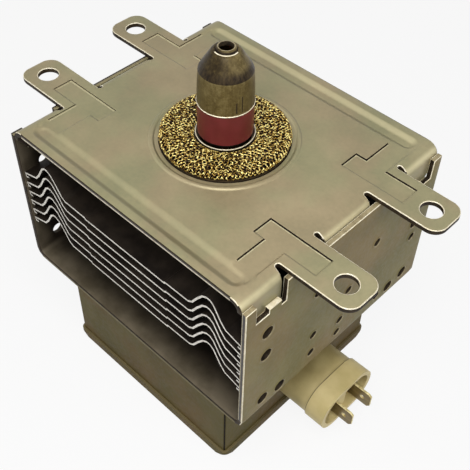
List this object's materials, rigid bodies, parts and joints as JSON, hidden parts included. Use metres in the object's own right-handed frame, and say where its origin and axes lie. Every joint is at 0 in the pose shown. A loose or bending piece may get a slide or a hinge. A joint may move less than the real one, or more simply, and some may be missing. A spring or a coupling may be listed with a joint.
{
  "type": "magnetron",
  "caption": "Magnetron of a microwave oven: finned tube in a steel yoke with mounting ears, a capped antenna with a mesh gasket, and a filter box with a tab connector.",
  "frame": {"origin": "on the mounting face, which is the top of the ears, at the centre of the four ear holes and on the antenna axis", "axes": "+Z out of the antenna, +X to the side where the connector leaves the filter box, +Y along the depth of the yoke, through which the cooling air blows"},
  "size_m": [0.1286, 0.08, 0.1223],
  "materials": {
    "zinc_plate": "zinc-plated sheet, satin",
    "zinc_wall": "zinc-plated sheet, satin",
    "zinc_box": "zinc-plated sheet, dull",
    "ferrite": "matt sintered ferrite",
    "copper": "bare copper",
    "seal_metal": "nickel-plated drawn metal",
    "pole_iron": "plain iron",
    "red_ceramic": "fired, slightly glossy",
    "white_ceramic": "fired, matt",
    "cap_steel": "drawn, satin",
    "brass_mesh": "knitted wire",
    "tungsten": "dark carburised wire",
    "nickel": "nickel-plated",
    "tab_metal": "tin-plated strip",
    "enamel_wire": "enamelled copper wire",
    "brown_plastic": "moulded, matt",
    "cream_plastic": "moulded, satin",
    "fin_aluminium": "bare rolled sheet"
  },
  "bodies": {
    "root": {"anode_cylinder": "copper", "anode_vane_01": "copper", "anode_vane_02": "copper", "anode_vane_03": "copper", "anode_vane_04": "copper", "anode_vane_05": "copper", "anode_vane_06": "copper", "anode_vane_07": "copper", "anode_vane_08": "copper", "anode_vane_09": "copper", "anode_vane_10": "copper", "antenna_cap": "cap_steel", "antenna_ceramic": "red_ceramic", "antenna_lead": "copper", "capacitor_ceramic": "white_ceramic", "capacitor_flange": "zinc_box", "capacitor_inner_case": "brown_plastic", "centre_lead": "tungsten", "choke_coil_1": "enamel_wire", "choke_coil_2": "enamel_wire", "connector_housing": "cream_plastic", "cooling_fin_1": "fin_aluminium", "cooling_fin_2": "fin_aluminium", "cooling_fin_3": "fin_aluminium", "cooling_fin_4": "fin_aluminium", "cooling_fin_5": "fin_aluminium", "cooling_fin_6": "fin_aluminium", "exhaust_tube": "copper", "feedthrough_rod_1": "nickel", "feedthrough_rod_2": "nickel", "ferrite_core_1": "ferrite", "ferrite_core_2": "ferrite", "filament": "tungsten", "filter_box": "zinc_box", "filter_lid": "zinc_box", "flange_rivets": "nickel", "gasket_ring": "seal_metal", "lower_end_hat": "tungsten", "lower_magnet": "ferrite", "lower_pole_piece": "pole_iron", "lower_shell": "seal_metal", "lower_strap_inner": "copper", "lower_strap_outer": "copper", "lower_yoke": "zinc_wall", "mesh_gasket": "brass_mesh", "side_lead": "tungsten", "stem_ceramic": "white_ceramic", "stem_terminal_1": "nickel", "stem_terminal_2": "nickel", "tab_terminal_1": "tab_metal", "tab_terminal_2": "tab_metal", "upper_end_hat": "tungsten", "upper_magnet": "ferrite", "upper_pole_piece": "pole_iron", "upper_shell": "seal_metal", "upper_strap_inner": "copper", "upper_strap_outer": "copper", "upper_yoke_plate": "zinc_plate"}
  },
  "joints": []
}
